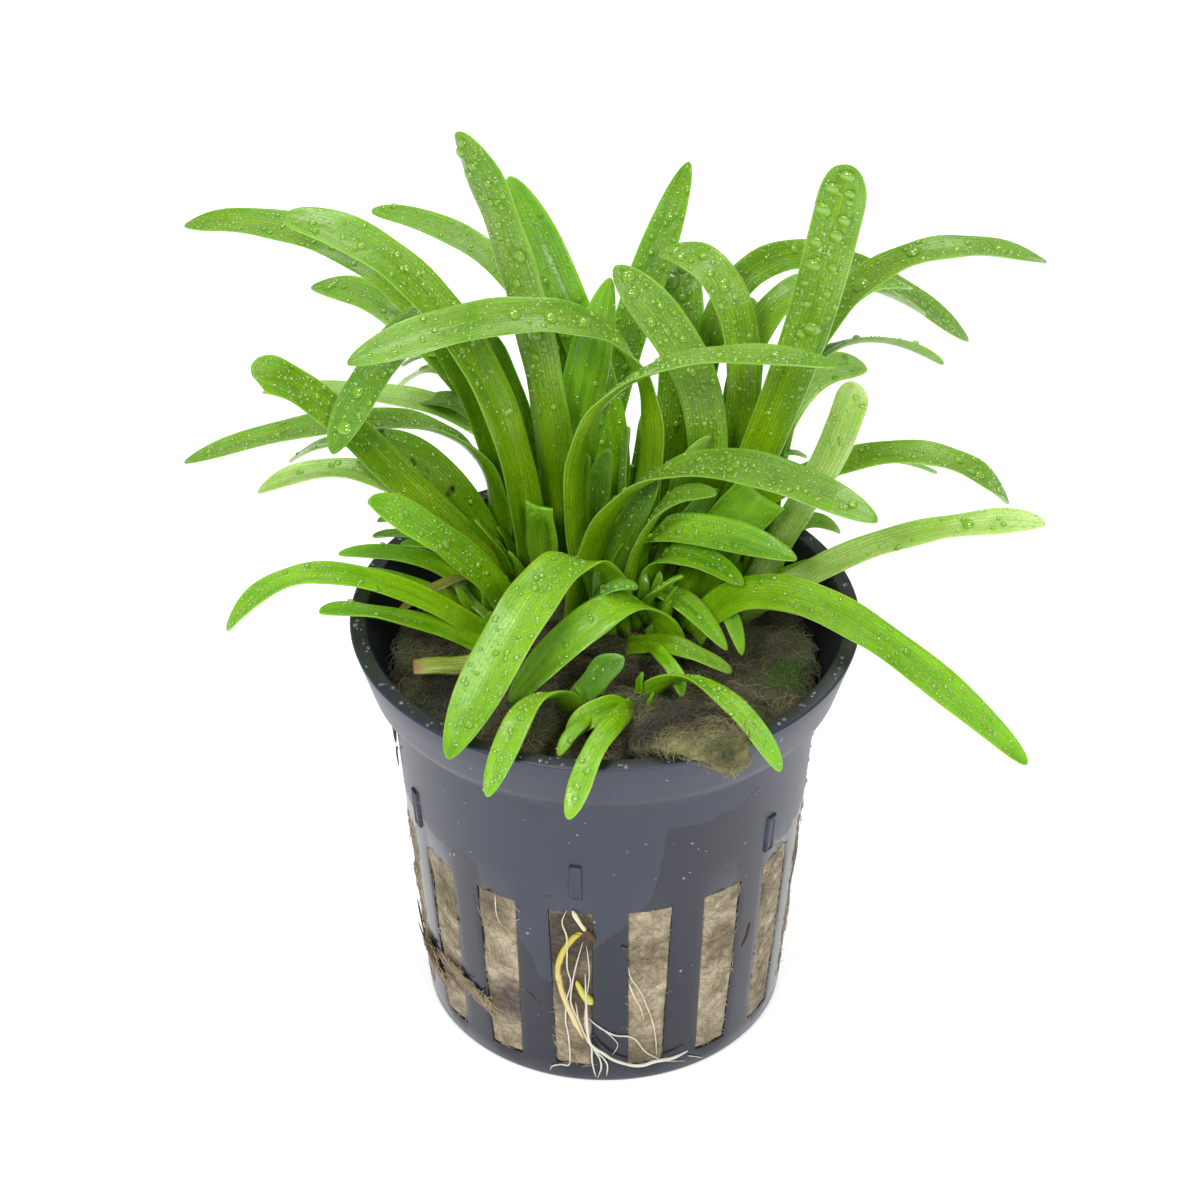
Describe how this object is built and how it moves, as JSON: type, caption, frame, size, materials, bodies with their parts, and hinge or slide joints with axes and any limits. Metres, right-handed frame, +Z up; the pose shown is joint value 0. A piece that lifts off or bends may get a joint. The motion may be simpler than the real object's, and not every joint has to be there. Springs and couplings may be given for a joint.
{
  "type": "potted dwarf sagittaria",
  "caption": "Dwarf sagittaria, a strap-leaved aquarium plant, growing in rock wool in a slotted plastic net pot.",
  "frame": {"origin": "middle of the pot's closed base, on the surface it stands on", "axes": "+Z up along the pot's axis; -Y faces the viewer of the picture, the side where the tuft of wool spills over the rim a little to the right; +X to the viewer's right"},
  "size_m": [0.0947, 0.074, 0.1018],
  "materials": {
    "pot_plastic": "satin",
    "rock_wool": "matte",
    "crown_flesh": "satin",
    "leaf_green": "gloss",
    "runner_yellow": "satin",
    "root_white": "satin"
  },
  "bodies": {
    "root": {"net_pot": "pot_plastic", "rock_wool": "rock_wool", "wool_tuft": "rock_wool", "crown_main": "crown_flesh", "crown_right": "crown_flesh", "crown_middle": "crown_flesh", "crown_left": "crown_flesh", "crown_front": "crown_flesh", "leaf_main_01": "leaf_green", "leaf_main_02": "leaf_green", "leaf_main_03": "leaf_green", "leaf_main_04": "leaf_green", "leaf_main_05": "leaf_green", "leaf_main_06": "leaf_green", "leaf_main_07": "leaf_green", "leaf_main_08": "leaf_green", "leaf_main_09": "leaf_green", "leaf_main_10": "leaf_green", "leaf_main_11": "leaf_green", "leaf_main_12": "leaf_green", "leaf_main_13": "leaf_green", "leaf_main_14": "leaf_green", "leaf_main_15": "leaf_green", "leaf_main_16": "leaf_green", "leaf_main_17": "leaf_green", "leaf_main_18": "leaf_green", "leaf_main_19": "leaf_green", "leaf_main_20": "leaf_green", "leaf_main_21": "leaf_green", "leaf_right_01": "leaf_green", "leaf_right_02": "leaf_green", "leaf_right_03": "leaf_green", "leaf_right_04": "leaf_green", "leaf_right_05": "leaf_green", "leaf_right_06": "leaf_green", "leaf_right_07": "leaf_green", "leaf_right_08": "leaf_green", "leaf_right_09": "leaf_green", "leaf_right_10": "leaf_green", "leaf_right_11": "leaf_green", "leaf_right_12": "leaf_green", "leaf_middle_01": "leaf_green", "leaf_middle_02": "leaf_green", "leaf_middle_03": "leaf_green", "leaf_middle_04": "leaf_green", "leaf_middle_05": "leaf_green", "leaf_left_01": "leaf_green", "leaf_left_02": "leaf_green", "leaf_left_03": "leaf_green", "leaf_left_04": "leaf_green", "leaf_left_05": "leaf_green", "leaf_left_06": "leaf_green", "leaf_front_01": "leaf_green", "leaf_front_02": "leaf_green", "leaf_front_03": "leaf_green", "leaf_front_04": "leaf_green", "leaf_front_05": "leaf_green", "runner": "runner_yellow", "long_root": "root_white"}
  },
  "joints": []
}
